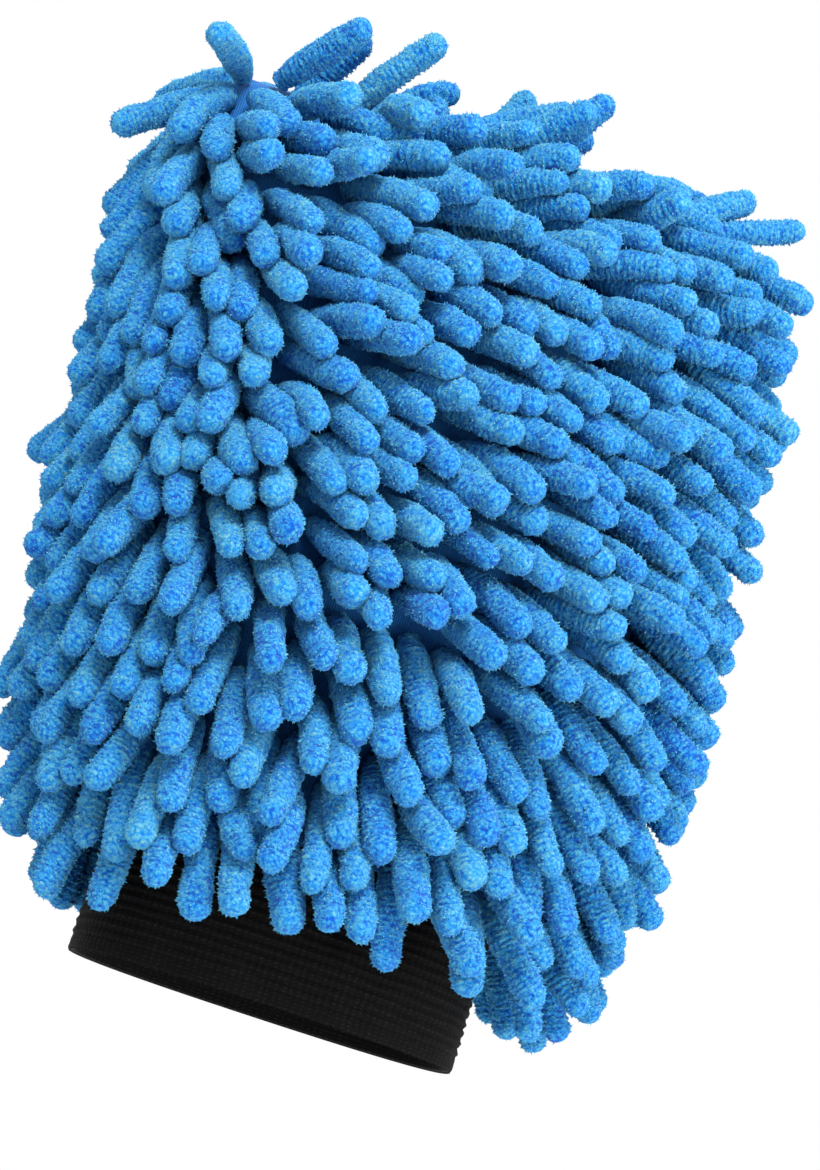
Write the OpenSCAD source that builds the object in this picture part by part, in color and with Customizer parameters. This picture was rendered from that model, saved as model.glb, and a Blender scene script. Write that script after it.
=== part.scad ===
// Chenille wash mitt, as it stands when a hand fills it.
// +Z runs from the cuff to the fingertips and -Y is the front of the mitt.
// The origin is the centre of the cuff's mouth.

/* [Pouch] */
// Height of the pouch, from the cuff seam to the fingertip seam
pouch_h = 160; // [148:1:170]
// Greatest width of the pouch, over its backing fabric
pouch_w = 118; // [114:1:130]
// Greatest depth of the filled pouch, over its backing fabric
pouch_d = 60; // [54:1:68]
// How far the pouch leans towards -X at the fingertips, as the hand bends
sway = 15; // [0:1:18]
// Thickness of the backing fabric that the noodles are tufted into
backing_t = 1.2; // [0.8:0.1:1.6]
// Thickness of the lining fabric
lining_t = 0.8; // [0.5:0.1:1.0]

/* [Cuff] */
// Width of the cuff's mouth, over the band
cuff_w = 84; // [76:1:90]
// Depth of the cuff's mouth, over the band
cuff_d = 56; // [48:1:62]
// Height of the cuff that hangs below the pouch
cuff_h = 32; // [30:1:50]
// Thickness of the elastic band
band_t = 1.8; // [1.2:0.1:2.4]
// Height of the band that is sewn inside the pouch
band_tuck = 8; // [6:1:12]

/* [Noodles] */
// Length of one noodle, from the backing to its tip
noodle_l = 27; // [22:1:30]
// Diameter of a noodle's dense core, inside its loose fuzz
noodle_d = 4.8; // [4.6:0.1:5.4]
// Distance between noodles along a row
noodle_pitch = 7.8; // [7.6:0.1:10]
// Number of rows of noodles on each face
rows = 20; // [14:1:20]
// How far the noodles sag at the front and back faces
face_sag = 0.1; // [0:0.05:0.3]
// How far the noodles sag at the two side edges
side_sag = 0.62; // [0.2:0.02:0.7]
// How far the lowest noodles sag over the cuff
hem_sag = 1.3; // [0.8:0.1:1.6]
// How far the topmost noodles sag
top_sag = 0.1; // [0:0.1:1.0]
// How far the noodles are brushed towards +X on the upper half
brush = 0.9; // [0:0.02:0.94]

/* [Stitches] */
// Length of one stitch
stitch_l = 3; // [2:0.5:4]
// Thickness of the sewing thread
thread_d = 0.9; // [0.6:0.1:1.2]
// Distance between stitches along a seam
stitch_pitch = 4.2; // [4:0.1:6]

/* [Hidden] */

blue = [0.16, 0.5, 0.86];
deep_blue = [0.08, 0.22, 0.5];
black = [0.06, 0.06, 0.07];
grey = [0.32, 0.36, 0.44];

// The pouch's outline is a superellipse at every height.
roundness = 2.35;
// Share of the height over which the pouch flares out from the cuff
flare = 0.26;
// Share of the full flare that the pouch has low down, where it is narrower
low_share = 0.78;
// Share of the height at which the corners start to round in
corner = 0.8;
// Width of the straight fingertip seam over the width of the pouch
tip_share = 0.85;
// Share of the height at which the faces start to close on each other
close = 0.3;
pouch_z = cuff_h;
top_z = pouch_z + pouch_h;
// The binding that holds both raw edges, inside the pouch
binding_w = 6;
binding_t = 2.2;
binding_z = pouch_z + 12;
binding_inset = backing_t + 0.3;
// Insets of the lining at the sides, the faces and the top, clear of band and binding
lining_in = binding_inset + binding_w + 0.5;
lining_out = [lining_in, backing_t + band_t + 0.2, lining_in];
lining_inner = lining_out + [1, 1, 1] * lining_t;
// Depth of the rounder body that the noodles fan out from, over the pouch's own
fan_depth = 1.35;
// Direction in which the noodles sag
pull = [0.28, -0.02, -0.96];
// How far a noodle's foot sits in the backing
foot_in = 0.4;
// Height over the backing at which the noodles are evenly spread, as a share of half the depth
spread_out = 0.3;
// Share of the noodle pitch by which every other row is shifted
stagger = 0.2;
// Height over which the noodles turn from hanging to standing out
hem_reach = 68;
// Height below the fingertip seam over which they sag again
top_reach = 36;
// Share of the brushing that the noodles at the side edges resist
edge_hold = 0.85;
// Heights between which the brushing sets in
brush_from = pouch_z + 20;
brush_to = pouch_z + 105;
// Margins of the lowest and topmost rows from the seams, in rows
first_row = 0.35;
last_row = 0.7;
// Where the band's ends meet at the back, as a share of its length
join_at = 0.36;
arc_steps = 60;
ring_steps = 20;
face_steps = 18;
round_fn = 24;

function row_name(side, i) = str(side, "_noodles_row_", i < 10 ? "0" : "", i);
function part_of(t, from, to) = max(0, min(1, (t - from) / (to - from)));
function ease(t) = t * t * (3 - 2 * t);
function unit(v) = v / norm(v);
function signed_power(x, p) = sign(x) * pow(abs(x), p);

// Half width and half depth of the pouch at height z, inset by side and face
function climb(z, inset) = part_of(z, pouch_z, top_z - inset);
function flared(t) = sqrt(1 - pow(1 - part_of(t, 0, flare), 2));
function half_w(z, side, top) =
    let (t = climb(z, top), s = part_of(t, corner, 1),
         widen = low_share + (1 - low_share) * part_of(t, 0, corner))
    cuff_w / 2 + backing_t - side
    + ((pouch_w - cuff_w) / 2 - backing_t) * flared(t) * widen
    - pouch_w / 2 * (1 - tip_share) * (1 - sqrt(1 - s * s));
function half_d(z, face, top) =
    let (t = climb(z, top), s = part_of(t, close, 1))
    (cuff_d / 2 + backing_t - face
     + ((pouch_d - cuff_d) / 2 - backing_t) * flared(t)) * sqrt(1 - s * s);

// The pouch's centre line at height z, and its slope
function centre_x(z) = -sway * part_of(z, pouch_z, top_z);
centre_slope = -sway / pouch_h;

// Point of the outline at angle a: 180 to 360 is the front, 0 to 180 the back
function outline(a, z, side, face, top) =
    [centre_x(z) + half_w(z, side, top) * signed_power(cos(a), 2 / roundness),
     half_d(z, face, top) * signed_power(sin(a), 2 / roundness), z];

// Heights of a face's rings, closer together where it flares and where it closes
function ring_z(i, top) =
    pouch_z + (pouch_h - top) * (1 - cos(180 * i / ring_steps)) / 2;

// Points and triangles of one half of the pouch between two insets
function half_points(start, side, face, top) =
    [for (i = [0:ring_steps], k = [0:face_steps])
        outline(start + 180 * k / face_steps, ring_z(i, top), side, face, top)];
function quads(base, flip) =
    [for (i = [0:ring_steps - 1], k = [0:face_steps - 1])
        let (p = base + i * (face_steps + 1) + k, q = p + face_steps + 1)
        each flip ? [[p, q, p + 1], [p + 1, q, q + 1]]
                  : [[p, p + 1, q], [p + 1, q + 1, q]]];
// A closing strip between two lists of point numbers
function strip(a, b) =
    [for (i = [0:len(a) - 2]) each [[a[i], b[i], a[i + 1]], [a[i + 1], b[i], b[i + 1]]]];

module half_shell(start, outer, inner) {
    // start is the angle of the half's first edge; outer and inner are [side, face, top]
    n = (ring_steps + 1) * (face_steps + 1);
    w = face_steps + 1;
    left = [for (i = [0:ring_steps]) i * w];
    right = [for (i = [0:ring_steps]) i * w + face_steps];
    bottom = [for (k = [0:face_steps]) k];
    top = [for (k = [0:face_steps]) ring_steps * w + k];
    polyhedron(
        points = concat(half_points(start, outer[0], outer[1], outer[2]),
                        half_points(start, inner[0], inner[1], inner[2])),
        faces = concat(
            quads(0, true), quads(n, false),
            strip(left, [for (p = left) p + n]),
            strip([for (p = right) p + n], right),
            strip([for (p = bottom) p + n], bottom),
            strip(top, [for (p = top) p + n])));
}

module front_backing() {
    color(deep_blue) half_shell(180, [0, 0, 0], [1, 1, 1] * backing_t);
}

module back_backing() {
    color(deep_blue) half_shell(0, [0, 0, 0], [1, 1, 1] * backing_t);
}

module front_lining() {
    color(grey) half_shell(180, lining_out, lining_inner);
}

module back_lining() {
    color(grey) half_shell(0, lining_out, lining_inner);
}

// Edge of the pouch in its own plane, inset all round, from one side to the other
function edge(inset, low) =
    let (up = [for (i = [0:arc_steps / 2])
                   let (z = low + (top_z - inset - low) * sin(90 * i / (arc_steps / 2)))
                   [half_w(z, inset, inset), z]])
    concat([for (q = up) [centre_x(q[1]) + q[0], q[1]]],
           [for (i = [len(up) - 1:-1:0]) [centre_x(up[i][1]) - up[i][0], up[i][1]]]);

module seam_binding() {
    color(grey) translate([0, binding_t / 2, 0]) rotate([90, 0, 0])
        linear_extrude(binding_t) difference() {
            polygon(edge(binding_inset, binding_z));
            polygon(edge(binding_inset + binding_w, binding_z - 1));
        }
}

// Running length at each point of a path, and places at an even pitch along it
function lengths(p) =
    [for (i = 0, s = 0; i < len(p); s = s + (i + 1 < len(p) ? norm(p[i + 1] - p[i]) : 0),
          i = i + 1) [s, i]];
function count_of(p, pitch) = floor(lengths(p)[len(p) - 1][0] / pitch);
function places(p, n, shift) =
    let (t = lengths(p), step = t[len(t) - 1][0] / n)
    [for (j = [0:n - 1]) lookup((j + 0.5 + shift) * step, t)];
function point_at(p, f) =
    let (i = min(floor(f), len(p) - 2)) p[i] + (p[i + 1] - p[i]) * (f - i);
function heading_at(p, f) =
    let (i = min(floor(f), len(p) - 2)) unit(p[i + 1] - p[i]);

// A round-ended rod from foot along a direction, with l its whole length
module rod(foot, along, d, l) {
    translate(foot) rotate([0, acos(along[2]), atan2(along[1], along[0])]) {
        sphere(d = d, $fn = round_fn);
        cylinder(d = d, h = l - d, $fn = round_fn);
        translate([0, 0, l - d]) sphere(d = d, $fn = round_fn);
    }
}

// A seam's stitches, laid end to end along a path with gaps between them
module stitches(path, side) {
    for (f = places(path, count_of(path, stitch_pitch), 0)) {
        along = heading_at(path, f);
        rod(point_at(path, f) + side - along * (stitch_l - thread_d) / 2,
            along, thread_d, stitch_l);
    }
}

module seam_stitches() {
    path = [for (q = edge(binding_inset + binding_w / 2, binding_z)) [q[0], 0, q[1]]];
    color(blue) stitches(path, [0, -binding_t / 2, 0]);
}

// Outline of the elastic band at a height, inset from its outer face
function band_outline(inset) =
    [for (i = [0:2 * arc_steps - 1]) let (a = 180 * i / arc_steps)
        [(cuff_w / 2 - inset) * signed_power(cos(a), 2 / roundness),
         (cuff_d / 2 - inset) * signed_power(sin(a), 2 / roundness)]];

module cuff_band() {
    color(black) linear_extrude(cuff_h + band_tuck) difference() {
        polygon(band_outline(0));
        polygon(band_outline(band_t));
    }
}

// The band is one strip, so its two ends meet at the back and are sewn across
module cuff_side_stitches() {
    path = band_outline(0);
    spot = path[round(join_at * len(path))];
    along = unit(path[round(join_at * len(path)) + 1] - spot);
    color(black) for (z = [stitch_pitch:stitch_pitch:cuff_h - stitch_pitch])
        rod([spot[0], spot[1], z] - [along[0], along[1], 0] * (stitch_l - thread_d) / 2,
            [along[0], along[1], 0], thread_d, stitch_l);
}

// The pouch's mouth is sewn to the band all round, and shows inside the band
module cuff_joining_stitches() {
    ring = band_outline(band_t);
    path = [for (q = concat(ring, [ring[0]])) [q[0], q[1], pouch_z + band_tuck / 2]];
    color(black) stitches(path, [0, 0, 0]);
}

// Outward direction of the pouch at a point of its outer face
function outward(p) =
    let (h = 0.2, n = roundness, x = p[0] - centre_x(p[2]),
         zl = max(p[2] - h, pouch_z), zh = min(p[2] + h, top_z - 0.05),
         w = half_w(p[2], 0, 0), d = fan_depth * half_d(p[2], 0, 0),
         wz = (half_w(zh, 0, 0) - half_w(zl, 0, 0)) / (zh - zl),
         dz = (half_d(zh, 0, 0) - half_d(zl, 0, 0)) / (zh - zl),
         u = pow(abs(x) / w, n - 1), v = pow(abs(p[1]) / d, n - 1))
    unit([sign(x) * u / w, sign(p[1]) * v / d,
          -(u * abs(x) / (w * w) * wz + v * abs(p[1]) / (d * d) * dz)
          - sign(x) * u / w * centre_slope]);

// Direction of a noodle: it stands on the backing, sags and is brushed sideways
function noodle_way(p, n) =
    let (low = ease(1 - part_of(p[2], pouch_z, pouch_z + hem_reach)),
         high = ease(part_of(p[2], top_z - top_reach, top_z)),
         sag = face_sag + (side_sag - face_sag) * n[0] * n[0]
             + hem_sag * low + top_sag * high,
         swept = brush * ease(part_of(p[2], brush_from, brush_to)) * (1 - edge_hold * n[0] * n[0]))
    unit(n + sag * pull + [swept, 0, 0]);

// Heights of the rows, at an even pitch up the middle of a face
middle = [for (i = [0:arc_steps])
    let (z = pouch_z + pouch_h * sin(90 * i / arc_steps)) [half_d(z, 0, 0), z]];
row_step = lengths(middle)[arc_steps][0] / rows;
row_z = [for (i = [0:rows - 1])
    let (s = row_step * (first_row + i * (rows - first_row - last_row) / (rows - 1)))
    point_at(middle, lookup(s, lengths(middle)))[1]];

module noodle_row(start, i) {
    z = row_z[i - 1];
    path = [for (k = [0:arc_steps]) outline(start + 180 * k / arc_steps, z, 0, 0, 0)];
    shift = i % 2 == 0 ? stagger : -stagger;
    // They are spread evenly a little way out, so they stand closer round the edges.
    reach = spread_out * half_d(z, 0, 0);
    spread = [for (p = path) p + noodle_way(p, outward(p)) * reach];
    for (f = places(spread, count_of(spread, noodle_pitch), shift)) {
        p = point_at(path, f);
        n = outward(p);
        rod(p + n * (noodle_d / 2 - foot_in), noodle_way(p, n), noodle_d, noodle_l);
    }
}

front_backing();
back_backing();
front_lining();
back_lining();
seam_binding();
seam_stitches();
cuff_band();
cuff_side_stitches();
cuff_joining_stitches();
for (i = [1:rows]) {
    color(blue) noodle_row(180, i);
    color(blue) noodle_row(0, i);
}
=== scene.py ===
"""Looks of a chenille wash mitt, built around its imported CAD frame. Lengths are metres."""

import math

import bpy
import numpy as np
from mathutils import Matrix, Vector
from mathutils.bvhtree import BVHTree

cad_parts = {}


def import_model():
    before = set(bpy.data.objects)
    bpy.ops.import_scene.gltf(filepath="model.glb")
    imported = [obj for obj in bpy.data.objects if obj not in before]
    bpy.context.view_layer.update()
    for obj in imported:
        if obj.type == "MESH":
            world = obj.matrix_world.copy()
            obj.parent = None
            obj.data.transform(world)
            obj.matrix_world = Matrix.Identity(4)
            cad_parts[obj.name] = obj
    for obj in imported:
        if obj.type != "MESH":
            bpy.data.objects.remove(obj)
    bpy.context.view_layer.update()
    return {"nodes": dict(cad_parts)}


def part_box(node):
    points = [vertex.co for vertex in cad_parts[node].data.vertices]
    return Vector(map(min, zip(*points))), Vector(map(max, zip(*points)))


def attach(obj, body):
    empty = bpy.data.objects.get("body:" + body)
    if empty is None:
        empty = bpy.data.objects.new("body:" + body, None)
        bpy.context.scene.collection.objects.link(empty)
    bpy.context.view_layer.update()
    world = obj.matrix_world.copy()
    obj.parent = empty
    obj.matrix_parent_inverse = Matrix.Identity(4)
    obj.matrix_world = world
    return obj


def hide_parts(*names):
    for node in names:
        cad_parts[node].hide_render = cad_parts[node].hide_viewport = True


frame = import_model()

MM = 0.001
SEED = 7

# ---------------------------------------------------------------- the pouch's shape
# The same outline as part.scad: a superellipse at every height. That file explains these
# sizes and shares, under the same names.
BAND_LOW, BAND_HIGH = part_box("cuff_band")
CUFF_W = BAND_HIGH.x - BAND_LOW.x
CUFF_D = BAND_HIGH.y - BAND_LOW.y
BAND_TOP = BAND_HIGH.z
BAND_T = 1.8 * MM
POUCH_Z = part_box("front_backing")[0].z
TOP_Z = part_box("front_backing")[1].z
POUCH_W = 118 * MM
POUCH_D = 60 * MM
SWAY = 15 * MM
BACKING_T = 1.2 * MM
LINING_T = 0.8 * MM
LINING_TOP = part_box("front_lining")[1].z
LINING_SIDE = TOP_Z - LINING_TOP
LINING_FACE = BACKING_T + BAND_T + 0.2 * MM
ROUNDNESS = 2.35
FLARE = 0.26
LOW_SHARE = 0.78
CORNER = 0.8
TIP_SHARE = 0.85
CLOSE = 0.3
JOIN_AT = 0.36
# Direction in which the noodles hang: down, and a little towards +X, as the arm leans
SAG_WAY = np.array([0.28, -0.02, -0.96])


def part_of(t, low, high):
    """How far t has come from low to high, as 0 to 1."""
    return np.clip((t - low) / (high - low), 0, 1)


def ease(t):
    """0 to 1 again, with a soft start and a soft end."""
    return t * t * (3 - 2 * t)


def signed_power(x, p):
    return np.sign(x) * np.abs(x) ** p


def flared(t):
    """Share of the pouch's flare that is reached at a share t of its height."""
    return np.sqrt(1 - (1 - part_of(t, 0, FLARE)) ** 2)


def half_width(z, side=0.0, top=0.0):
    """Half the pouch's width at height z, inset by side, and by top at the fingertips."""
    t = part_of(z, POUCH_Z, TOP_Z - top)
    s = part_of(t, CORNER, 1)
    widen = LOW_SHARE + (1 - LOW_SHARE) * part_of(t, 0, CORNER)
    return (CUFF_W / 2 + BACKING_T - side
            + ((POUCH_W - CUFF_W) / 2 - BACKING_T) * flared(t) * widen
            - POUCH_W / 2 * (1 - TIP_SHARE) * (1 - np.sqrt(1 - s * s)))


def half_depth(z, face=0.0, top=0.0):
    """Half the pouch's depth at height z, inset by face, and by top at the fingertips."""
    t = part_of(z, POUCH_Z, TOP_Z - top)
    s = part_of(t, CLOSE, 1)
    return (CUFF_D / 2 + BACKING_T - face
            + ((POUCH_D - CUFF_D) / 2 - BACKING_T) * flared(t)) * np.sqrt(1 - s * s)


def centre_x(z):
    return -SWAY * part_of(z, POUCH_Z, TOP_Z)


def pouch_grid(start, rows, columns, side=0.0, face=0.0, top=0.0):
    """Points of one half of the pouch, rows up by columns round, from the angle start."""
    i = np.linspace(0, 1, rows)[:, None]
    z = POUCH_Z + (TOP_Z - top - POUCH_Z) * (1 - np.cos(math.pi * i)) / 2
    a = start + math.pi * np.linspace(0, 1, columns)[None, :]
    x = centre_x(z) + half_width(z, side, top) * signed_power(np.cos(a), 2 / ROUNDNESS)
    y = half_depth(z, face, top) * signed_power(np.sin(a), 2 / ROUNDNESS)
    return np.stack([x, y, np.broadcast_to(z, x.shape)], axis=-1)


def band_outline(angles):
    """Points of the elastic band's outer oval at these angles."""
    x = CUFF_W / 2 * signed_power(np.cos(angles), 2 / ROUNDNESS)
    y = CUFF_D / 2 * signed_power(np.sin(angles), 2 / ROUNDNESS)
    return np.stack([x, y], axis=-1)


# ---------------------------------------------------------------- meshes from arrays
def unit(v):
    return v / np.maximum(np.linalg.norm(v, axis=-1, keepdims=True), 1e-12)


def new_object(name, points, quads, triangles=()):
    """A smooth mesh object from points and faces, given as arrays."""
    quads = np.asarray(quads, np.int32).reshape(-1, 4)
    triangles = np.asarray(triangles, np.int32).reshape(-1, 3)
    corners = np.concatenate([quads.ravel(), triangles.ravel()])
    starts = np.concatenate([np.arange(len(quads)) * 4,
                             len(quads) * 4 + np.arange(len(triangles)) * 3])
    mesh = bpy.data.meshes.new(name)
    mesh.vertices.add(len(points))
    mesh.vertices.foreach_set("co", np.asarray(points, np.float32).ravel())
    mesh.loops.add(len(corners))
    mesh.loops.foreach_set("vertex_index", corners.astype(np.int32))
    mesh.polygons.add(len(starts))
    mesh.polygons.foreach_set("loop_start", starts.astype(np.int32))
    mesh.update(calc_edges=True)
    mesh.validate()
    mesh.polygons.foreach_set("use_smooth", np.ones(len(mesh.polygons), bool))
    piece = bpy.data.objects.new(name, mesh)
    bpy.context.scene.collection.objects.link(piece)
    return piece


def put_values(piece, **values):
    """Stores a number or a vector per point under each name, for the material to read."""
    for name, numbers in values.items():
        numbers = np.asarray(numbers, np.float32)
        if numbers.size == len(piece.data.vertices):
            layer = piece.data.attributes.new(name, "FLOAT", "POINT")
            layer.data.foreach_set("value", numbers.ravel())
        else:
            layer = piece.data.attributes.new(name, "FLOAT_VECTOR", "POINT")
            layer.data.foreach_set("vector", numbers.ravel())


def finish_piece(piece, material, slot, *nodes):
    """Gives a piece its material and its body, and hides what it replaces. The slot is not used.
    """
    piece.data.materials.clear()
    piece.data.materials.append(material)
    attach(piece, "root")
    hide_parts(*nodes)
    return piece


def grid_quads(rows, columns, first=0, wrap=False, flip=False):
    """Faces of a grid of points that is stored row by row."""
    i = np.arange(rows - 1)[:, None]
    k = np.arange(columns if wrap else columns - 1)[None, :]
    a = first + i * columns + k
    b = first + i * columns + (k + 1) % columns
    quads = np.stack([a, b, b + columns, a + columns], axis=-1).reshape(-1, 4)
    return quads[:, ::-1] if flip else quads


def strip_quads(a, b):
    """Faces of a strip between two lists of point numbers."""
    return np.stack([a[:-1], b[:-1], b[1:], a[1:]], axis=-1)


def slab(name, outer, inner, wrap=False):
    """A closed sheet with an outer and an inner grid of points of the same size."""
    rows, columns = outer.shape[:2]
    n = rows * columns
    index = np.arange(n).reshape(rows, columns)
    low, high = index[0], index[-1]
    if wrap:
        low, high = np.append(low, low[0]), np.append(high, high[0])
    quads = [grid_quads(rows, columns, 0, wrap), grid_quads(rows, columns, n, wrap, True),
             strip_quads(low, low + n), strip_quads(high + n, high)]
    if not wrap:
        quads += [strip_quads(index[:, 0] + n, index[:, 0]),
                  strip_quads(index[:, -1], index[:, -1] + n)]
    points = np.concatenate([outer.reshape(-1, 3), inner.reshape(-1, 3)])
    return new_object(name, points, np.concatenate(quads))


def smoothed(values, axis, times, wrap=False):
    """values averaged with their neighbours along an axis, times times over."""
    for _ in range(times):
        if wrap:
            before, after = np.roll(values, 1, axis), np.roll(values, -1, axis)
        else:
            line = np.arange(values.shape[axis])
            before = np.take(values, np.maximum(line - 1, 0), axis)
            after = np.take(values, np.minimum(line + 1, len(line) - 1), axis)
        values = (before + 2 * values + after) / 4
    return values


def noise_like(shape, rng, times_along, times_round, wrap=True):
    """Smooth noise of about -1 to 1 over the last two axes, along and round."""
    values = rng.standard_normal(shape)
    values = smoothed(values, len(shape) - 2, times_along)
    values = smoothed(values, len(shape) - 1, times_round, wrap)
    return np.clip(values / (2 * values.std()), -1.5, 1.5)


# A direction that no path is likely to start along
ANY_WAY = (0.31, 0.95, 0.07)


def frames_along(paths):
    """Directions across each path, carried along it without twist."""
    ahead = unit(np.gradient(paths, axis=1))
    across = np.empty_like(paths)
    across[:, 0] = unit(np.cross(ahead[:, 0], ANY_WAY))
    for m in range(1, paths.shape[1]):
        last = across[:, m - 1]
        across[:, m] = unit(last - ahead[:, m] * (last * ahead[:, m]).sum(-1, keepdims=True))
    return across, np.cross(ahead, across)


def tube_points(paths, radii):
    """Points round each path at these radii, an array of paths by steps by points round."""
    across, up = frames_along(paths)
    a = 2 * math.pi * np.arange(radii.shape[2]) / radii.shape[2]
    spokes = (across[:, :, None] * np.cos(a)[None, None, :, None]
              + up[:, :, None] * np.sin(a)[None, None, :, None])
    return paths[:, :, None] + spokes * radii[..., None]


def tubes(name, paths, radii):
    """One object of closed tubes along these paths, with these radii."""
    count, steps, points_round = radii.shape
    each = steps * points_round + 2
    rings = tube_points(paths, radii).reshape(count, -1, 3)
    points = np.concatenate([rings, paths[:, :1], paths[:, -1:]], axis=1).reshape(-1, 3)
    quads = grid_quads(steps, points_round, wrap=True)
    k = np.arange(points_round)
    after = (k + 1) % points_round
    last = (steps - 1) * points_round
    caps = np.concatenate([
        np.stack([np.full_like(k, each - 2), after, k], axis=-1),
        np.stack([np.full_like(k, each - 1), last + k, last + after], axis=-1)])
    first = np.arange(count)[:, None, None] * each
    return new_object(name, points, (quads + first).reshape(-1, 4),
                      (caps + first).reshape(-1, 3))


def along_tubes(values):
    """Per-ring values, of one number or three, with the two end points of each tube."""
    flat = values.reshape(len(values), -1, *values.shape[3:])
    return np.concatenate([flat, flat[:, :1], flat[:, -1:]], axis=1)


# ---------------------------------------------------------------- solids of a CAD node
def solids(node):
    """The points of each separate solid in a CAD node."""
    mesh = frame["nodes"][node].data
    points = np.empty(len(mesh.vertices) * 3, np.float32)
    mesh.vertices.foreach_get("co", points)
    mesh.calc_loop_triangles()
    corners = np.empty(len(mesh.loop_triangles) * 3, np.int32)
    mesh.loop_triangles.foreach_get("vertices", corners)
    points, same = np.unique(np.round(points.reshape(-1, 3), 6), axis=0, return_inverse=True)
    corners = same.ravel()[corners].reshape(-1, 3)
    label = np.arange(len(points))
    while True:
        before = label.copy()
        low = label[corners].min(axis=1)
        for k in range(3):
            np.minimum.at(label, corners[:, k], low)
        label = label[label]
        if (label == before).all():
            break
    found = [points[label == n].astype(float) for n in np.unique(label)]
    return sorted(found, key=lambda p: tuple(p.mean(0)))


def rod_ends(points):
    """The centres of a round-ended rod's two end spheres, and its radius."""
    centre = points.mean(0)
    way = np.linalg.eigh(np.cov((points - centre).T))[1][:, -1]
    along = (points - centre) @ way
    off = points - centre - along[:, None] * way
    radius = np.linalg.norm(off, axis=1).max()
    return (centre + way * (along.min() + radius), centre + way * (along.max() - radius),
            radius)


# ---------------------------------------------------------------- the noodles' lie
NOODLE_R = 3.15 * MM
LINKS = 8
TIP_REACH = 3.3 * MM
# Random differences between noodles, as shares
LENGTH_SPREAD = 0.06
GIRTH_SPREAD = 0.05
LEAN_SPREAD = 0.13
# How far a noodle curls and sags at its tip, and the height over which the sag fades
CURL = 3.2 * MM
CURL_BACK = 0.45
SAG = 7 * MM
TOP_SAG = 0.3
TOP_REACH = 40 * MM
# How far the edge's noodles are brushed onto the face, and the heights where that sets in
EDGE_BRUSH = 0.45
BRUSH_FROM = POUCH_Z + 20 * MM
BRUSH_TO = POUCH_Z + 80 * MM
# The topmost rows close over the seam; at the -X corner they fall over it instead
CLOSING_MESS = 2.2
CLOSING_REACH = 7 * MM
CORNER_FROM = 0.7
CORNER_REACH = 18 * MM
CORNER_WAY = np.array([-0.6, 0, -0.3])
# The relaxation: its steps, and how often and how far it looks for neighbours
RELAX_STEPS = 220
SEARCH_EVERY = 11
SEARCH_REACH = 2.4 * NOODLE_R
CHAIN_SPAN = 30 * MM
# Share of their thickness that touching noodles keep, and of an overlap mended in a step
SQUEEZE = 0.92
PUSH = 0.6
# Share of a bend that is taken out in a step, and how firmly root and tip hold their lie
STRAIGHTEN = 0.25
ROOT_HOLD = 0.12
TIP_HOLD = 0.012
# A noodle's girth at its root, how much it gains, and the share of its length for that
ROOT_SIZE = 0.8
SIZE_GAIN = 0.2
SIZE_REACH = 0.35
# Radii that the first link keeps over the cloth, the gain for each next link, and the most
ROOT_CLEAR = 0.55
CLEAR_GAIN = 0.2
MOST_CLEAR = 0.9


def body_tree():
    """A search tree of the outer faces that the noodles rest on."""
    sides = [pouch_grid(start, 60, 50) for start in (math.pi, 0)]
    angles = np.linspace(0, 2 * math.pi, 121)
    oval = band_outline(angles)
    sides.append(np.stack([np.column_stack([oval, np.full(len(oval), z)])
                           for z in (0.0, POUCH_Z)]))
    points, faces, first = [], [], 0
    for grid in sides:
        rows, columns = grid.shape[:2]
        points += grid.reshape(-1, 3).tolist()
        faces += grid_quads(rows, columns, first).tolist()
        first += rows * columns
    return BVHTree.FromPolygons(points, faces)


def noodle_axes(tree):
    """Root, tip and row name of every noodle, from the CAD rows."""
    roots, tips, rows = [], [], []
    for node in sorted(n for n in frame["nodes"] if "_noodles_row_" in n):
        for points in solids(node):
            a, b, _ = rod_ends(points)
            if tree.find_nearest(a)[3] > tree.find_nearest(b)[3]:
                a, b = b, a
            roots.append(a)
            tips.append(b)
            rows.append(node)
    return np.array(roots), np.array(tips), np.array(rows)


def near_pairs(points):
    """Pairs of links, of different noodles, that are close to each other."""
    middle = points.mean(1)
    gap = np.linalg.norm(middle[:, None] - middle[None], axis=-1)
    a, b = np.nonzero(np.triu(gap < SEARCH_REACH + CHAIN_SPAN, 1))
    k = np.arange(LINKS)
    i = (a[:, None, None] * LINKS + k[None, :, None] + 0 * k[None, None, :]).ravel()
    j = (b[:, None, None] * LINKS + k[None, None, :] + 0 * k[None, :, None]).ravel()
    flat = points.reshape(-1, 3)
    close = ((flat[i] - flat[j]) ** 2).sum(1) < SEARCH_REACH * SEARCH_REACH
    return i[close], j[close]


def add_up(index, vectors, size):
    """The sum of the vectors that belong to each index."""
    return np.stack([np.bincount(index, vectors[:, k], size) for k in range(3)], axis=-1)


def ground_under(points, tree):
    """The nearest body point and its outward direction for every link."""
    spots, ways = np.empty_like(points), np.empty_like(points)
    for n, p in enumerate(points):
        spot, way, _, _ = tree.find_nearest(Vector(p))
        axis = Vector((centre_x(p[2]), 0, spot.z))
        if way.dot(spot - axis) < 0:
            way = -way
        spots[n], ways[n] = spot, way
    return spots, ways


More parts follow.
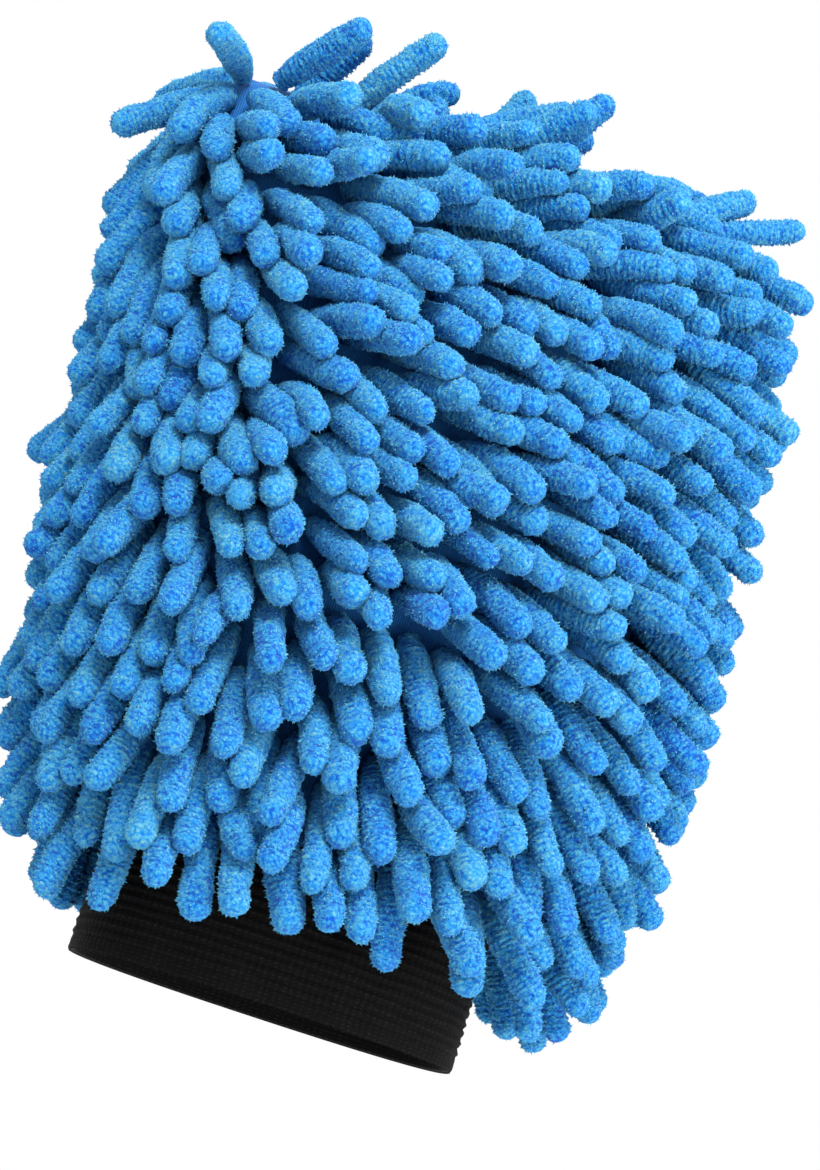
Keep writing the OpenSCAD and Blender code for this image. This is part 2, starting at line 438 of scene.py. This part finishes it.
def noodle_ways(roots, tips):
    """The noodles' directions, and how far each one takes part in closing the top."""
    way = unit(tips - roots)
    aside = part_of(-way[:, 0], 0, 1)
    swept = (EDGE_BRUSH * 4 * aside * (1 - aside)
             * ease(part_of(roots[:, 2], BRUSH_FROM, BRUSH_TO)))
    way = unit(way + swept[:, None] * [1, 0, 0])
    x, z = roots[:, 0], roots[:, 2]
    corner = (ease(part_of((centre_x(z) - x) / half_width(z), CORNER_FROM, 1))
              * ease(part_of(z, TOP_Z - CORNER_REACH, TOP_Z)))
    closing = (1 - corner) * ease(part_of(z, TOP_Z - CLOSING_REACH, TOP_Z))
    way[:, 1] *= 1 - closing
    return unit(way + corner[:, None] * CORNER_WAY), closing


def lone_chains(roots, tips, rng):
    """Chains of links that lean, curl and sag as if nothing were in their way."""
    count = len(roots)
    way, closing = noodle_ways(roots, tips)
    length = np.linalg.norm(tips - roots, axis=1)
    length = length * (1 + LENGTH_SPREAD * rng.standard_normal(count))
    girth = 1 + GIRTH_SPREAD * np.clip(rng.standard_normal(count), -2, 2)
    lean = rng.standard_normal((count, 3)) * LEAN_SPREAD
    lean = lean * (1 + CLOSING_MESS * closing[:, None])
    curl = rng.standard_normal((count, 3))
    curl = unit(curl - way * (curl * way).sum(1, keepdims=True)) * CURL
    curl = curl * rng.uniform(0.1, 1, (count, 1))
    # A noodle that already points the way it would hang doesn't sag.
    level = np.sqrt(1 - np.clip(way @ unit(SAG_WAY), -1, 1) ** 2)
    level = level * (1 - (1 - TOP_SAG) * part_of(roots[:, 2], TOP_Z - TOP_REACH, TOP_Z))
    t = np.linspace(0, 1, LINKS)[None, :, None]
    chain = (roots[:, None] + unit(way + lean)[:, None] * t * length[:, None, None]
             + curl[:, None] * (t * t - CURL_BACK * t)
             + SAG_WAY * SAG * level[:, None, None] * t * t)
    return chain, length, girth


def push_apart(flat, i, j, size):
    """Moves the links i and j that overlap away from each other."""
    apart = flat[i] - flat[j]
    gap = np.linalg.norm(apart, axis=1)
    need = (size[i] + size[j]) * SQUEEZE - gap
    push = np.where(need > 0, 0.5 * need / np.maximum(gap, 1e-6), 0)[:, None] * apart * PUSH
    flat += add_up(i, push, len(flat)) - add_up(j, push, len(flat))


def lie_of_noodles(roots, tips, tree, rng):
    """Chains of links for the noodles: they curl, sag and push each other apart."""
    rest, length, girth = lone_chains(roots, tips, rng)
    t = np.linspace(0, 1, LINKS)
    size = NOODLE_R * girth[:, None]
    size = (size * (ROOT_SIZE + SIZE_GAIN * ease(part_of(t, 0, SIZE_REACH)))[None]).ravel()
    clear = np.minimum(MOST_CLEAR, ROOT_CLEAR + CLEAR_GAIN * np.arange(LINKS))
    clear = np.tile(clear, len(roots)) * size
    hold = (ROOT_HOLD * (1 - t) ** 2 + TIP_HOLD)[None, :, None]
    link = (length / (LINKS - 1))[:, None]
    points = rest.copy()
    for step in range(RELAX_STEPS):
        if step % SEARCH_EVERY == 0:
            i, j = near_pairs(points)
            spots, ways = ground_under(points.reshape(-1, 3), tree)
        points += (rest - points) * hold
        flat = points.reshape(-1, 3)
        push_apart(flat, i, j, size)
        need = clear - ((flat - spots) * ways).sum(1)
        flat += np.where(need > 0, need, 0)[:, None] * ways
        bent = (points[:, :-2] + points[:, 2:]) / 2 - points[:, 1:-1]
        points[:, 1:-1] += STRAIGHTEN * bent
        points[:, 0] = roots
        for k in range(1, LINKS):
            points[:, k] = (points[:, k - 1]
                            + unit(points[:, k] - points[:, k - 1]) * link)
    return points, girth


def curve_through(chain, t):
    """Points of the smooth curve through each chain's links, at t from 0 to 1."""
    before = 2 * chain[:, :1] - chain[:, 1:2]
    after = 2 * chain[:, -1:] - chain[:, -2:-1]
    knots = np.concatenate([before, chain, after], axis=1)
    f = t * (chain.shape[1] - 1)
    i = np.minimum(f.astype(int), chain.shape[1] - 2)
    u = (f - i)[None, :, None]
    p = [knots[:, i + k] for k in range(4)]
    return 0.5 * (2 * p[1] + (p[2] - p[0]) * u
                  + (2 * p[0] - 5 * p[1] + 4 * p[2] - p[3]) * u ** 2
                  + (3 * p[1] - p[0] - 3 * p[2] + p[3]) * u ** 3)


# ---------------------------------------------------------------- the noodles' pile
BODY_STEPS = 44
TIP_STEPS = 8
POINTS_ROUND = 24
# The pile's ridges, pebbles and lumps, and how far noise bends the ridges, in turns
RIDGE_PITCH = 1.3 * MM
RIDGE = 0.26 * MM
RIDGE_WARP = 0.3
PEBBLE = 0.2 * MM
LUMP = 0.35 * MM
# Girth at both ends as a share, and the lengths over which it is reached
ROOT_GIRTH = 0.78
ROOT_TAPER = 7 * MM
TIP_GIRTH = 0.94
TIP_TAPER = 6 * MM
TIP_POWER = 2.1
LEAST_R = 0.05 * MM
# Loose tufts on each noodle: their number, thickness, range of lengths, most of them short,
# spread of lean, depth in the pile, and distance from the noodle's root
TUFTS = 480
TUFT_R = 0.25 * MM
TUFT_LENGTH = (0.25 * MM, 0.7 * MM)
TUFT_POWER = 1.5
TUFT_LEAN = 0.33
TUFT_FOOT = 0.2 * MM
TUFT_FROM = 8 * MM


def noodle_paths(chain):
    """Centre lines with a straight end for the tip, and how far along each step lies."""
    body = curve_through(chain, np.linspace(0, 1, BODY_STEPS))
    way = unit(body[:, -1] - body[:, -2])
    reach = TIP_REACH * np.sin(math.pi / 2 * np.arange(1, TIP_STEPS + 1) / (TIP_STEPS + 0.35))
    tip = body[:, -1:] + way[:, None] * reach[None, :, None]
    path = np.concatenate([body, tip], axis=1)
    step = np.linalg.norm(np.diff(path, axis=1), axis=-1)
    return path, np.concatenate([np.zeros((len(path), 1)), np.cumsum(step, axis=1)], axis=1)


def noodle_radii(chain, girth, rng):
    """Paths and radii of the noodles, their pile's height, and places for its pattern."""
    path, run = noodle_paths(chain)
    count, steps = run.shape
    shape = (count, steps, POINTS_ROUND)
    body_end = run[:, BODY_STEPS - 1:BODY_STEPS]
    past = np.clip((run - body_end) / TIP_REACH, 0, 1)
    narrow = ROOT_GIRTH + (1 - ROOT_GIRTH) * ease(part_of(run, 0, ROOT_TAPER))
    near_tip = ease(part_of(run, body_end - TIP_TAPER, body_end))
    narrow = narrow * (1 - (1 - TIP_GIRTH) * near_tip)
    round_off = np.sqrt(np.maximum(1 - past ** TIP_POWER, 0))
    profile = NOODLE_R * girth[:, None] * narrow * round_off
    pebble = noise_like(shape, rng, 1, 0)
    lump = noise_like(shape, rng, 30, 10)
    warp = noise_like(shape, rng, 6, 4)
    turn = np.arange(POINTS_ROUND) / POINTS_ROUND
    phase = run[..., None] / RIDGE_PITCH + turn + rng.uniform(0, 1, (count, 1, 1))
    phase = phase + RIDGE_WARP * warp
    ridge = np.cos(2 * math.pi * phase) * (1 - past[..., None])
    strength = part_of(profile / NOODLE_R, 0.1, 0.6)[..., None]
    height = (RIDGE * ridge + PEBBLE * pebble) * strength
    radii = np.maximum(profile[..., None] + height + LUMP * lump * strength, LEAST_R)
    # nap is the pile's height as 0 to 1. The chenille material paints its low places darker,
    # which is painted shade, and its crests paler, which is a painted highlight.
    nap = 0.5 + 0.5 * np.clip(height / (RIDGE + PEBBLE), -1, 1)
    # Where each point lies in the straight noodle, so that the pattern bends along with it
    pile = np.stack([run[..., None] + 0 * radii, profile[..., None] * np.cos(2 * math.pi * turn),
                     profile[..., None] * np.sin(2 * math.pi * turn)], axis=-1)
    return path, radii, nap, pile + rng.uniform(0, 1, (count, 1, 1, 3))


def tuft_points(path, radii, rng):
    """Four points for each little tuft of loose pile: three round its foot, and its end."""
    count, steps, points_round = radii.shape
    rings = tube_points(path, radii)
    run = np.linalg.norm(np.diff(path[0], axis=0), axis=1)
    share = run * radii.mean((0, 2))[:-1] * (np.cumsum(run) > TUFT_FROM)
    n = np.repeat(np.arange(count), TUFTS)
    i = rng.choice(steps - 1, len(n), p=share / share.sum())
    k = rng.integers(0, points_round, len(n))
    u, v, stretch = rng.uniform(0, 1, (3, len(n), 1))
    spot = (rings[n, i, k] * (1 - u) + rings[n, i + 1, k] * u
            + (rings[n, i, (k + 1) % points_round] - rings[n, i, k]) * v)
    out = unit(spot - path[n, np.minimum(i, BODY_STEPS - 1)])
    way = unit(out + TUFT_LEAN * rng.standard_normal(out.shape))
    across = unit(np.cross(way, rng.standard_normal(way.shape)))
    foot = spot - out * TUFT_FOOT
    turns = 2 * math.pi * np.arange(3) / 3
    base = (foot[:, None] + TUFT_R * (across[:, None] * np.cos(turns)[None, :, None]
                                      + np.cross(way, across)[:, None]
                                      * np.sin(turns)[None, :, None]))
    low, high = TUFT_LENGTH
    end = foot + way * (TUFT_FOOT + low + (high - low) * stretch ** TUFT_POWER)
    return np.concatenate([base, end[:, None]], axis=1).reshape(count, TUFTS, 4, 3)


# ---------------------------------------------------------------- materials
WAVE_SCALE = 2 * math.pi / 20  # a wave texture's pitch at a scale of one
WALE_PITCH = 1.5 * MM
FINE_PITCH = 0.8 * MM
# The soft, matt shine that the noodles and their loose tufts share
PILE_SHEEN = {"Sheen Weight": 0.28, "Sheen Roughness": 0.5, "Sheen Tint": (0.36, 0.66, 0.86, 1),
              "Specular IOR Level": 0.02}


class Shader:
    """A material's node tree, with short calls that add and join nodes."""

    def __init__(self, name, roughness, **settings):
        self.material = bpy.data.materials.new(name)
        self.material.use_nodes = True
        self.tree = self.material.node_tree
        self.surface = self.tree.nodes["Principled BSDF"]
        self.join(self.surface, {"Roughness": roughness, "Specular IOR Level": 0.2, **settings})
        self.place = self.add("TexCoord").outputs["Object"]

    def join(self, node, values):
        """Sets or links a node's inputs by name."""
        for name, value in values.items():
            if isinstance(value, bpy.types.NodeSocket):
                self.tree.links.new(value, node.inputs[name])
            else:
                node.inputs[name].default_value = value

    def add(self, kind, values=None, **settings):
        """A new node with these inputs and settings."""
        node = self.tree.nodes.new("ShaderNode" + kind)
        for name, value in settings.items():
            setattr(node, name, value)
        self.join(node, values or {})
        return node

    def value(self, name):
        """The number that put_values stored on the points under this name."""
        return self.add("Attribute", attribute_name=name).outputs["Fac"]

    def noise(self, scale, detail=3.0, roughness=0.6):
        return self.add("TexNoise", {"Vector": self.place, "Scale": scale, "Detail": detail,
                                     "Roughness": roughness}).outputs["Fac"]

    def wave(self, scale, direction, distortion):
        return self.add("TexWave", {"Vector": self.place, "Scale": scale,
                                    "Distortion": distortion, "Detail Scale": 2.0},
                        bands_direction=direction).outputs["Fac"]

    def math(self, operation, *values):
        node = self.add("Math", operation=operation)
        for socket, value in zip(node.inputs, values):
            if isinstance(value, bpy.types.NodeSocket):
                self.tree.links.new(value, socket)
            else:
                socket.default_value = value
        return node.outputs["Value"]

    def ramp(self, value, *stops):
        """Colours by value; each stop is a place and a colour."""
        node = self.add("ValToRGB", {"Fac": value})
        ramp = node.color_ramp
        while len(ramp.elements) < len(stops):
            ramp.elements.new(0.5)
        for element, (place, colour) in zip(ramp.elements, stops):
            element.position = place
            element.color = (*colour, 1)
        return node.outputs["Color"]

    def bump(self, height, distance, strength):
        node = self.add("Bump", {"Height": height, "Distance": distance, "Strength": strength})
        self.join(self.surface, {"Normal": node.outputs["Normal"]})


def chenille():
    """Blue microfibre pile in small tufts, soft on their ends. Its colour is dark between the
    tufts, which is painted shade, and pale on their ends, which is a painted highlight.
    """
    s = Shader("chenille", 1.0, **PILE_SHEEN)
    lie = s.add("Attribute", attribute_name="pile").outputs["Vector"]
    pressed = s.add("Mapping", {"Vector": lie, "Scale": (1.3, 1, 1)}).outputs["Vector"]
    bent = s.add("TexNoise", {"Vector": lie, "Scale": 900.0, "Detail": 2.0}).outputs["Color"]
    shift = s.add("VectorMath", {0: bent, "Scale": 0.9 * MM}, operation="SCALE").outputs["Vector"]
    place = s.add("VectorMath", {0: pressed, 1: shift}, operation="ADD").outputs["Vector"]
    cells = s.add("TexVoronoi", {"Vector": place, "Scale": 1250.0, "Smoothness": 0.8},
                  feature="SMOOTH_F1").outputs["Distance"]
    tuft = s.math("SUBTRACT", 1.0, cells)
    fibre = s.add("TexNoise", {"Vector": place, "Scale": 2100.0, "Detail": 4.0,
                               "Roughness": 0.8}).outputs["Fac"]
    height = s.math("ADD", s.math("MULTIPLY", s.value("nap"), 0.3),
                    s.math("ADD", s.math("MULTIPLY_ADD", tuft, 0.7, -0.4),
                           s.math("MULTIPLY", fibre, 0.9)))
    blotch = s.math("MULTIPLY", s.math("SUBTRACT", s.noise(90.0, 2.0, 0.5), 0.5), 0.2)
    # The ramp reads mostly the pile's height: its dark stops are painted shade in the low places
    # between tufts, fibres and ridges, and its pale top is a painted highlight on the crests. The
    # blotch and the per-noodle tone are random differences of tone.
    tone = s.math("ADD", s.math("ADD", height, blotch), s.math("MULTIPLY", s.value("tone"), 0.03))
    colour = s.ramp(tone, (0.35, (0.001, 0.06, 0.39)), (0.53, (0.006, 0.19, 0.555)),
                    (0.71, (0.042, 0.295, 0.51)), (1.0, (0.19, 0.43, 0.47)))
    s.join(s.surface, {"Base Color": colour})
    s.bump(height, 0.7 * MM, 1.0)
    return s.material


def knit(name, low, high, pitch, sheen):
    """A fine knit: narrow upright ribs, with a little fuzz."""
    s = Shader(name, 0.85, **{"Sheen Weight": sheen, "Sheen Roughness": 0.5})
    ribs = s.wave(1 / pitch / 2, "X", 0.6)
    courses = s.wave(1 / pitch / 1.6, "Z", 0.8)
    fuzz = s.noise(1800.0, 3.0, 0.7)
    height = s.math("ADD", s.math("MULTIPLY", ribs, 0.45),
                    s.math("ADD", s.math("MULTIPLY", courses, 0.25),
                           s.math("MULTIPLY", fuzz, 0.3)))
    s.join(s.surface, {"Base Color": s.ramp(height, (0.2, low), (0.8, high))})
    s.bump(height, 0.25 * MM, 0.8)
    return s.material


def elastic():
    """Black elastic webbing: a matt woven face with a few paler flecks, and painted shade in its
    ribs' hollows.
    """
    s = Shader("cuff_elastic", 0.85, **{"Sheen Weight": 0.02, "Sheen Roughness": 0.45,
                                        "Specular IOR Level": 0.08})
    place = s.add("Attribute", attribute_name="weave").outputs["Vector"]
    bands = {}
    for way, pitch in (("X", WALE_PITCH), ("Y", FINE_PITCH)):
        bands[way] = s.add("TexWave", {"Vector": place, "Scale": WAVE_SCALE / pitch,
                                       "Distortion": 2.5, "Detail": 3.0, "Detail Scale": 3.0},
                           bands_direction=way).outputs["Fac"]
    loops = s.math("MULTIPLY", bands["X"], bands["Y"])
    fuzz = s.noise(2600.0, 3.0, 0.75)
    fleck = s.noise(900.0, 2.0, 0.6)
    # The stored nap darkens the ribs' hollows and the sunken plain edge: painted shade. The
    # loops, fuzz and flecks are the webbing's own pattern.
    height = s.math("ADD", s.math("MULTIPLY_ADD", s.value("nap"), 0.15, -0.08),
                    s.math("ADD", s.math("MULTIPLY", loops, 0.4),
                           s.math("ADD", s.math("MULTIPLY", fuzz, 0.5),
                                  s.math("MULTIPLY", fleck, 0.35))))
    s.join(s.surface, {"Base Color": s.ramp(height, (0.35, (0.0005, 0.0005, 0.0006)),
                                            (0.7, (0.0022, 0.0022, 0.0024)),
                                            (1.0, (0.013, 0.013, 0.0135)))})
    s.bump(height, 0.35 * MM, 0.9)
    return s.material


def thread(name, low, high):
    """Spun sewing thread, with a soft shine and fine fibres."""
    s = Shader(name, 0.6, **{"Sheen Weight": 0.3, "Sheen Roughness": 0.4})
    fibre = s.noise(3500.0, 2.0, 0.6)
    s.join(s.surface, {"Base Color": s.ramp(fibre, (0.3, low), (0.7, high))})
    s.bump(fibre, 0.08 * MM, 0.7)
    return s.material


def loose_pile(name, colour):
    """One of the tones of the loose tufts, which are too fine to hold a pattern."""
    return Shader(name, 1.0, **PILE_SHEEN, **{"Base Color": (*colour, 1)}).material


CHENILLE = chenille()
LOOSE = [loose_pile("chenille_loose_dark", (0.006, 0.185, 0.51)),
         loose_pile("chenille_loose_mid", (0.035, 0.285, 0.49)),
         loose_pile("chenille_loose_pale", (0.11, 0.355, 0.47))]
LOOSE_SHARES = (0.2, 0.52, 0.28)
BACKING = knit("backing_fabric", (0.004, 0.06, 0.22), (0.015, 0.15, 0.43), 0.8 * MM, 0.02)
LINING = knit("lining_fabric", (0.09, 0.12, 0.17), (0.2, 0.25, 0.32), 0.6 * MM, 0.3)
TAPE = knit("binding_tape", (0.005, 0.05, 0.17), (0.02, 0.14, 0.38), 0.9 * MM, 0.02)
ELASTIC = elastic()
SEAM_THREAD = thread("seam_thread", (0.05, 0.2, 0.5), (0.12, 0.38, 0.74))
CUFF_THREAD = thread("cuff_thread", (0.004, 0.004, 0.005), (0.02, 0.02, 0.022))


# ---------------------------------------------------------------- the noodles
def noodles():
    """The soft noodles, one piece for each CAD row. Returns the pieces."""
    rng = np.random.default_rng(SEED)
    tree = body_tree()
    roots, tips, rows = noodle_axes(tree)
    chain, girth = lie_of_noodles(roots, tips, tree, rng)
    path, radii, nap, pile = noodle_radii(chain, girth, rng)
    tone = rng.standard_normal(len(roots))
    made = []
    for node in np.unique(rows):
        mine = rows == node
        piece = tubes(node + "_pile", path[mine], radii[mine])
        same = np.broadcast_to(tone[mine, None, None], nap[mine].shape)
        put_values(piece, nap=along_tubes(nap[mine]), tone=along_tubes(same),
                   pile=along_tubes(pile[mine]))
        made.append(finish_piece(piece, CHENILLE, "chenille", str(node)))
        made.append(loose_tufts(str(node), tuft_points(path[mine], radii[mine], rng), rng))
    return made


def loose_tufts(node, points, rng):
    """The loose pile of one row: closed little spikes in three tones of the blue."""
    faces = np.array([[0, 2, 1], [0, 1, 3], [1, 2, 3], [2, 0, 3]])
    count = points.shape[0] * points.shape[1]
    faces = faces[None] + 4 * np.arange(count)[:, None, None]
    piece = new_object(node + "_fuzz", points.reshape(-1, 3), [], faces.reshape(-1, 3))
    finish_piece(piece, LOOSE[0], "chenille", node)
    for material in LOOSE[1:]:
        piece.data.materials.append(material)
    tones = np.repeat(rng.choice(3, count, p=LOOSE_SHARES), 4)
    piece.data.polygons.foreach_set("material_index", tones.astype(np.int32))
    return piece


# ---------------------------------------------------------------- the pouch's fabrics
SHEET_ROWS = 110
SHEET_COLUMNS = 120
EDGE_FADE = 8  # steps of the grid
BACKING_DENT = 0.25 * MM
LINING_FOLD = 1.1 * MM
LINING_SLACK = 1.2  # millimetres, halfway up the pouch


def dents(grid, amount, times, rng):
    """Soft offsets in and out of a grid of points, which fade out at its edges."""
    soft = noise_like((1, *grid.shape[:2]), rng, times, times, wrap=False)[0]
    way = unit(np.cross(np.gradient(grid, axis=1), np.gradient(grid, axis=0)))
    fade = [part_of(np.minimum(np.arange(n), n - 1 - np.arange(n)), 0, EDGE_FADE)
            for n in grid.shape[:2]]
    edge = np.minimum(fade[0][:, None], fade[1][None])
    return way * (amount * soft * edge)[..., None]


def backing(side, start, rng):
    """The tufted backing of one face, stretched over the hand."""
    outer = pouch_grid(start, SHEET_ROWS, SHEET_COLUMNS)
    inner = pouch_grid(start, SHEET_ROWS, SHEET_COLUMNS, BACKING_T, BACKING_T, BACKING_T)
    offsets = dents(outer, BACKING_DENT, 6, rng)
    piece = slab(side + "_backing_cloth", outer + offsets, inner + offsets)
    finish_piece(piece, BACKING, "backing_fabric", side + "_backing")
    return piece


def lining(side, start, rng):
    """The lining of one face, with soft folds, and slack between its two ends."""
    outer = pouch_grid(start, SHEET_ROWS, SHEET_COLUMNS, LINING_SIDE, LINING_FACE, LINING_SIDE)
    inner = pouch_grid(start, SHEET_ROWS, SHEET_COLUMNS, LINING_SIDE + LINING_T,
                       LINING_FACE + LINING_T, LINING_SIDE + LINING_T)
    folds = dents(outer, LINING_FOLD, 10, rng)
    slack = ease(np.sin(np.linspace(0, math.pi, SHEET_ROWS)))[:, None, None]
    folds = folds - unit(outer - inner) * LINING_SLACK * MM * slack
    piece = slab(side + "_lining_cloth", outer + folds, inner + folds)
    finish_piece(piece, LINING, "lining_fabric", side + "_lining")
    return piece


# ---------------------------------------------------------------- the cuff
CUFF_COLUMNS = 240
RIB_PITCH = 2.1 * MM
RIB = 0.18 * MM
FINE = 0.05 * MM
WEAVE = 0.05 * MM
# The plain edge at the mouth: its height, how soon the ribs follow, and how deep it lies
SELVEDGE = 2.4 * MM
RIBS_START = 1.2 * MM
SELVEDGE_DEPTH = 0.25 * MM
EDGE_ROUND = 0.7 * MM
CUFF_SLACK = 0.5 * MM
# The webbing's thickness, and about how deep its ribbed face lies behind the CAD band's
WEBBING_T = BAND_T - 0.3 * MM
FACE_DEPTH = 0.2 * MM
# The groove where the band's ends meet: its half width, as an angle, and its depth
JOIN_WIDTH = 0.012
JOIN_DEPTH = 0.5 * MM


def cuff(rng):
    """The elastic webbing band, ribbed round it, with a flat edge at the mouth."""
    angles = 2 * math.pi * np.arange(CUFF_COLUMNS) / CUFF_COLUMNS
    step = FINE_PITCH / 4
    heights = np.arange(0, BAND_TOP + step / 2, step)
    heights[-1] = BAND_TOP
    rows = len(heights)
    oval = band_outline(angles)
    ahead = unit(np.roll(oval, -1, 0) - np.roll(oval, 1, 0))
    out = np.stack([ahead[:, 1], -ahead[:, 0]], axis=-1)
    z = heights[:, None]
    in_ribs = ease(part_of(z, SELVEDGE, SELVEDGE + RIBS_START))
    uneven = noise_like((1, rows, CUFF_COLUMNS), rng, 20, 12)[0]
    weave = noise_like((1, rows, CUFF_COLUMNS), rng, 1, 1)[0]
    rib = np.cos(2 * math.pi * (z / RIB_PITCH) + 0.5 * uneven)
    fine = np.cos(2 * math.pi * z / FINE_PITCH)
    height = RIB * (rib - 1) * (1 + 0.25 * uneven) + FINE * (fine - 1)
    height = height * in_ribs - SELVEDGE_DEPTH * (1 - in_ribs)
    height = height + WEAVE * weave
    slack = CUFF_SLACK * np.sin(3 * angles + 0.8) * ease(part_of(POUCH_Z - z, 0, POUCH_Z))
    round_edge = BAND_T / 2 * (1 - np.sqrt(1 - (1 - part_of(z, 0, EDGE_ROUND)) ** 2))
    join = np.exp(-((angles - 2 * math.pi * JOIN_AT) / JOIN_WIDTH) ** 2)[None] * JOIN_DEPTH
    offset = height + slack - round_edge * 0.7 - join
    thick = WEBBING_T - round_edge * 1.4
    grids = []
    for depth in (offset, slack - FACE_DEPTH - thick):
        side = oval[None] + out[None] * depth[..., None]
        up = np.broadcast_to(z[..., None], (rows, CUFF_COLUMNS, 1))
        grids.append(np.concatenate([side, up], axis=-1))
    piece = slab("cuff_webbing", *grids, wrap=True)
    # nap is low in the ribs' hollows and on the sunken plain edge, and the elastic material
    # paints those places darker: painted shade.
    nap = 0.5 + 0.5 * np.clip(height / (RIB + FINE) + 0.8, -1, 1)
    step_round = np.linalg.norm(np.diff(oval, axis=0), axis=1)
    arc = np.concatenate([[0], np.cumsum(step_round)])
    arc = (arc - arc[round(JOIN_AT * CUFF_COLUMNS)]) % (arc[-1] + step_round[-1])
    weave = np.stack(np.broadcast_arrays(arc[None], z, 0.0), axis=-1).reshape(-1, 3)
    put_values(piece, nap=np.concatenate([nap.ravel(), np.full(nap.size, 0.5)]),
               weave=np.concatenate([weave, weave]))
    finish_piece(piece, ELASTIC, "cuff_elastic", "cuff_band")
    return piece


# A stitch's steps, points round, dip past each end as a share, and twist in radians
STITCH_STEPS = 26
STITCH_ROUND = 12
STITCH_DIP = 0.12
STITCH_TWIST = 7.0


def twisted_stitches(node, name, material, slot, arch):
    """Stitches of two-ply thread that dip into the cloth at both ends.

    They arch outwards where arch is 1, and inwards where it is -1."""
    ends = [rod_ends(points) for points in solids(node)]
    a = np.array([e[0] for e in ends])
    b = np.array([e[1] for e in ends])
    radius = min(e[2] for e in ends)
    t = np.linspace(-STITCH_DIP, 1 + STITCH_DIP, STITCH_STEPS)[None, :, None]
    middle = (a + b) / 2
    out = unit(np.column_stack([middle[:, :2], np.zeros(len(middle))]) * arch)
    rise = (0.35 - (2 * t - 1) ** 2 * 0.9) * radius
    path = a[:, None] + (b - a)[:, None] * t + out[:, None] * rise
    turn = 2 * math.pi * np.arange(STITCH_ROUND) / STITCH_ROUND
    twist = np.cos(2 * (turn[None, None] - STITCH_TWIST * t))
    radii = radius * (0.82 + 0.16 * twist) * np.ones((len(a), 1, 1))
    piece = tubes(name, path, radii)
    return finish_piece(piece, material, slot, node)


# ---------------------------------------------------------------- build
cloth_rng = np.random.default_rng(SEED + 1)
rows = noodles()
cuff(cloth_rng)
lining("front", math.pi, cloth_rng)
lining("back", 0, cloth_rng)
backing("front", math.pi, cloth_rng)
backing("back", 0, cloth_rng)
twisted_stitches("cuff_side_stitches", "cuff_side_thread", CUFF_THREAD, "cuff_thread", 1)
twisted_stitches("cuff_joining_stitches", "cuff_joining_thread", CUFF_THREAD, "cuff_thread", -1)
for node, material in (("seam_binding", TAPE), ("seam_stitches", SEAM_THREAD)):
    shown = frame["nodes"][node]
    shown.data.materials.clear()
    shown.data.materials.append(material)

# ---------------------------------------------------------------- floor, lights, camera
FLOOR_Z = -0.32
FLOOR_SIDE = 2.4
MIDDLE = (0.0027, 0, 0.096)  # what the camera and the lights are aimed at


def floor():
    """A plain pale floor well below the mitt."""
    side = np.array([[-1, -1], [1, -1], [1, 1], [-1, 1]]) * FLOOR_SIDE / 2
    points = np.column_stack([side, np.full(4, FLOOR_Z)])
    piece = new_object("floor", points, [[0, 1, 2, 3]])
    s = Shader("floor", 0.7)
    grain = s.noise(14.0, 2.0)
    s.join(s.surface, {"Base Color": s.ramp(grain, (0.3, (0.80, 0.80, 0.80)),
                                            (0.7, (0.84, 0.84, 0.84)))})
    piece.data.materials.append(s.material)


def area_light(name, right, up, near, size, power):
    """A soft light aimed at the mitt, placed along the camera's right, up and towards it."""
    eye = bpy.context.scene.camera.matrix_world.to_3x3()
    place = Vector(MIDDLE) + eye @ Vector((right, up, near))
    light = bpy.data.lights.new(name, "AREA")
    light.size = size
    light.energy = power
    lamp = bpy.data.objects.new(name, light)
    bpy.context.scene.collection.objects.link(lamp)
    lamp.location = place
    lamp.rotation_euler = (Vector(MIDDLE) - place).to_track_quat("-Z", "Y").to_euler()


def world():
    """Even white light from all round, and plain colours in the picture."""
    made = bpy.data.worlds.new("studio")
    bpy.context.scene.world = made
    made.use_nodes = True
    ground = made.node_tree.nodes["Background"]
    ground.inputs["Color"].default_value = (1, 1, 1, 1)
    ground.inputs["Strength"].default_value = 1.0
    bpy.context.scene.view_settings.view_transform = "Standard"


def camera(azimuth, elevation, roll, distance, lens):
    """The camera, aimed at the middle from these angles in degrees, with this focal length."""
    a, e = math.radians(azimuth), math.radians(elevation)
    back = Vector((math.sin(a) * math.cos(e), -math.cos(a) * math.cos(e), math.sin(e)))
    turn = back.to_track_quat("Z", "Y").to_matrix().to_4x4()
    made = bpy.data.objects.new("camera", bpy.data.cameras.new("camera"))
    bpy.context.scene.collection.objects.link(made)
    made.matrix_world = (Matrix.Translation(Vector(MIDDLE) + back * distance) @ turn
                         @ Matrix.Rotation(math.radians(roll), 4, "Z"))
    made.data.sensor_fit = "VERTICAL"
    made.data.sensor_height = 36
    made.data.lens = lens
    bpy.context.scene.camera = made


floor()
world()
camera(-5, -12.5, 18, 0.6, 86)
area_light("key", 0.2, 0.7, 0.5, 0.3, 11)
area_light("side", 0.65, -0.2, 0.55, 0.5, 8)
area_light("back", -0.1, 0.4, -0.7, 0.6, 7)
